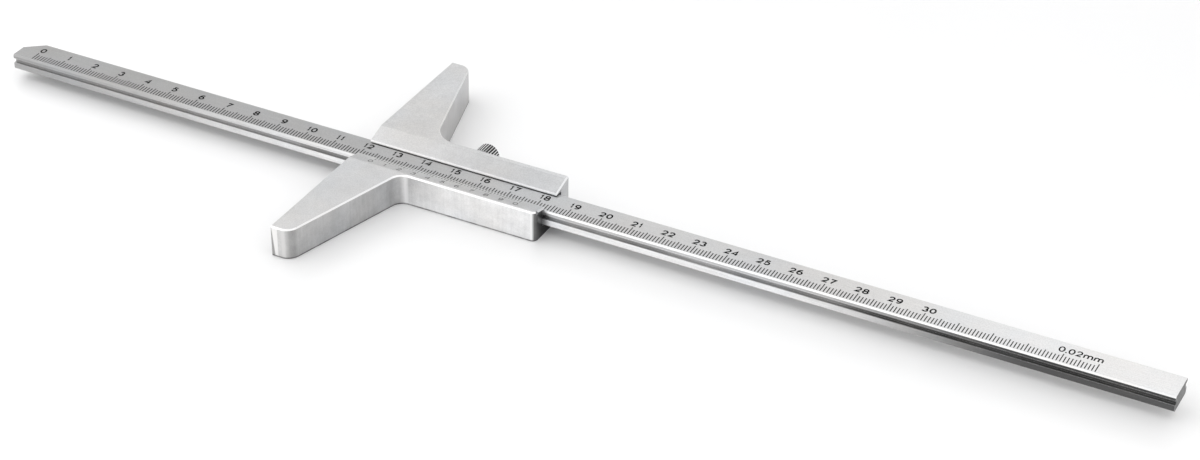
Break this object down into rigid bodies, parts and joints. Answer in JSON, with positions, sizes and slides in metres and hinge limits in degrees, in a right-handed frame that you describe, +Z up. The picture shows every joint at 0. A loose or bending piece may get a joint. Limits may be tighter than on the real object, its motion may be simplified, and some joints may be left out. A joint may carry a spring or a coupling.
{
  "type": "vernier depth gauge",
  "caption": "Vernier depth gauge: a graduated beam slides through a T-shaped base with an engraved vernier and is held by a knurled lock screw.",
  "frame": {"origin": "middle of the gauge's length and of the base's span, on the surface it lies on", "axes": "+X along the beam from its measuring tip towards its blank end, +Y across the beam towards the lock screw, +Z up from the frame's underside through the scale face"},
  "size_m": [0.3796, 0.104, 0.0113],
  "materials": {
    "beam_steel": "satin",
    "frame_steel": "satin",
    "screw_steel": "satin",
    "leaf_bronze": "satin"
  },
  "bodies": {
    "frame": {"frame": "frame_steel"},
    "beam": {"beam": "beam_steel"},
    "lock_screw": {"lock_screw": "screw_steel"},
    "leaf_spring": {"leaf_spring": "leaf_bronze"}
  },
  "joints": [
    {"name": "beam_slide", "type": "slide", "parent": "frame", "child": "beam", "axis": [1, 0, 0], "range_m": [-0.1735, 0.1265]},
    {"name": "lock_screw_turn", "type": "hinge", "parent": "frame", "child": "lock_screw", "pos_m": [-0.03085, 0.0105, 0.00595], "axis": [0, -1, 0], "range_deg": [0, 180]},
    {"name": "leaf_press", "type": "slide", "parent": "frame", "child": "leaf_spring", "axis": [0, -1, 0], "range_m": [0, 0.00025]}
  ],
  "couplings": [
    {"joint": "lock_screw_turn", "follows": "leaf_press", "rad_per_m": 12566}
  ]
}
